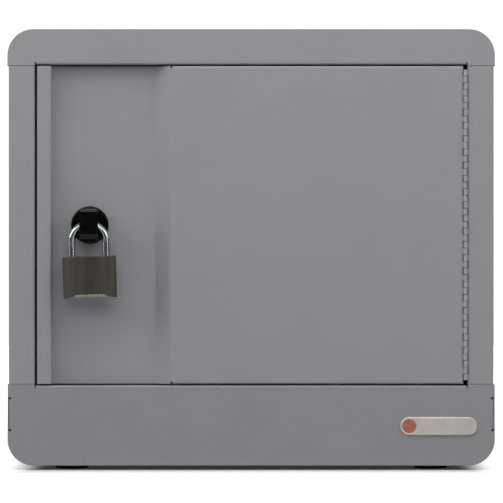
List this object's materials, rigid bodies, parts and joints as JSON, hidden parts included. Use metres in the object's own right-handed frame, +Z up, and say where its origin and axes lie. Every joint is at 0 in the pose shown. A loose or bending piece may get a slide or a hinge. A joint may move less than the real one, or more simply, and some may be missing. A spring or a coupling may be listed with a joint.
{
  "type": "device charging cabinet",
  "caption": "Steel desktop cabinet with rounded long edges, flush recessed door on a continuous hinge, padlock hasp, divided charging bay and outlet strips.",
  "frame": {"origin": "middle of the bounding box at the floor, under the feet", "axes": "+X to the right, +Y to the back and +Z up, as seen by someone facing the door"},
  "size_m": [0.468, 0.482, 0.4235],
  "materials": {
    "case_coat": "fine satin powder coat, mid grey",
    "hinge_coat": "grey coat worn thin over steel",
    "lock_black": "black satin die casting",
    "zinc_steel": "zinc plated, dull",
    "shackle_chrome": "polished",
    "padlock_bronze": "dark bronze finish, worn at the edges",
    "dial_brass": "turned, satin",
    "plate_silver": "satin silver",
    "plate_orange": "enamel fill",
    "foot_rubber": "matt",
    "divider_plastic": "moulded, fine grain",
    "strip_plastic": "moulded, satin",
    "outlet_plastic": "moulded, off white",
    "inlet_plastic": "moulded",
    "box_steel": "sealed housing",
    "rocker_plastic": "moulded, translucent red",
    "prong_brass": "nickelled"
  },
  "bodies": {
    "cabinet": {"base_shell": "case_coat", "base_fascia": "case_coat", "top_cap": "case_coat", "top_rail": "case_coat", "side_panel_left": "case_coat", "side_panel_right": "case_coat", "rear_panel": "case_coat", "rear_panel_screws": "zinc_steel", "bay_floor": "case_coat", "hinge_leaf_frame": "hinge_coat", "hinge_pin": "zinc_steel", "door_bumpers": "foot_rubber", "nameplate": "plate_silver", "nameplate_inlay": "plate_orange", "foot_screws": "zinc_steel", "strip_screws": "zinc_steel", "power_box": "box_steel", "box_screws": "zinc_steel", "wire_duct": "strip_plastic", "power_inlet": "inlet_plastic", "inlet_pins": "prong_brass", "inlet_screws": "zinc_steel", "device_divider_01": "divider_plastic", "device_divider_02": "divider_plastic", "device_divider_03": "divider_plastic", "device_divider_04": "divider_plastic", "device_divider_05": "divider_plastic", "device_divider_06": "divider_plastic", "device_divider_07": "divider_plastic", "device_divider_08": "divider_plastic", "device_divider_09": "divider_plastic", "device_divider_10": "divider_plastic", "device_divider_11": "divider_plastic", "foot_front_left": "foot_rubber", "foot_front_right": "foot_rubber", "foot_rear_left": "foot_rubber", "foot_rear_right": "foot_rubber", "outlet_strip_lower": "strip_plastic", "outlet_strip_upper": "strip_plastic", "outlet_faces_lower": "outlet_plastic", "outlet_faces_upper": "outlet_plastic"},
    "door": {"door_panel": "case_coat", "door_stiffener": "case_coat", "hinge_leaf_door": "hinge_coat", "lock_body": "lock_black", "lock_nut": "zinc_steel"},
    "knob": {"lock_knob": "lock_black", "lock_cam": "zinc_steel", "cam_screw": "zinc_steel"},
    "shackle": {"padlock_shackle": "shackle_chrome"},
    "padlock": {"padlock_case": "padlock_bronze", "padlock_dial_rod": "zinc_steel"},
    "dial_1": {"padlock_dial_1": "dial_brass"},
    "dial_2": {"padlock_dial_2": "dial_brass"},
    "dial_3": {"padlock_dial_3": "dial_brass"},
    "dial_4": {"padlock_dial_4": "dial_brass"},
    "rocker": {"power_rocker": "rocker_plastic"}
  },
  "joints": [
    {"name": "door_hinge", "type": "hinge", "parent": "cabinet", "child": "door", "pos_m": [0.20575, -0.219, 0.2355], "axis": [0, 0, 1], "range_deg": [0, 170]},
    {"name": "knob_turn", "type": "hinge", "parent": "door", "child": "knob", "pos_m": [-0.1553, -0.207, 0.2355], "axis": [0, -1, 0], "range_deg": [0, 90]},
    {"name": "padlock_swing", "type": "hinge", "parent": "knob", "child": "shackle", "pos_m": [-0.1559, -0.2295, 0.2336], "axis": [-1, 0, 0], "range_deg": [-6, 90]},
    {"name": "padlock_drop", "type": "slide", "parent": "shackle", "child": "padlock", "axis": [0.0297, 0, -0.9996], "range_m": [0, 0.012]},
    {"name": "dial_1_turn", "type": "hinge", "parent": "padlock", "child": "dial_1", "pos_m": [-0.16517, -0.2295, 0.1717], "axis": [0.9996, 0, 0.0297], "continuous": true},
    {"name": "dial_2_turn", "type": "hinge", "parent": "padlock", "child": "dial_2", "pos_m": [-0.15777, -0.2295, 0.17192], "axis": [0.9996, 0, 0.0297], "continuous": true},
    {"name": "dial_3_turn", "type": "hinge", "parent": "padlock", "child": "dial_3", "pos_m": [-0.15037, -0.2295, 0.17214], "axis": [0.9996, 0, 0.0297], "continuous": true},
    {"name": "dial_4_turn", "type": "hinge", "parent": "padlock", "child": "dial_4", "pos_m": [-0.14298, -0.2295, 0.17236], "axis": [0.9996, 0, 0.0297], "continuous": true},
    {"name": "rocker_turn", "type": "hinge", "parent": "cabinet", "child": "rocker", "pos_m": [0.112, 0.2335, 0.0445], "axis": [-1, 0, 0], "range_deg": [0, 14]}
  ]
}
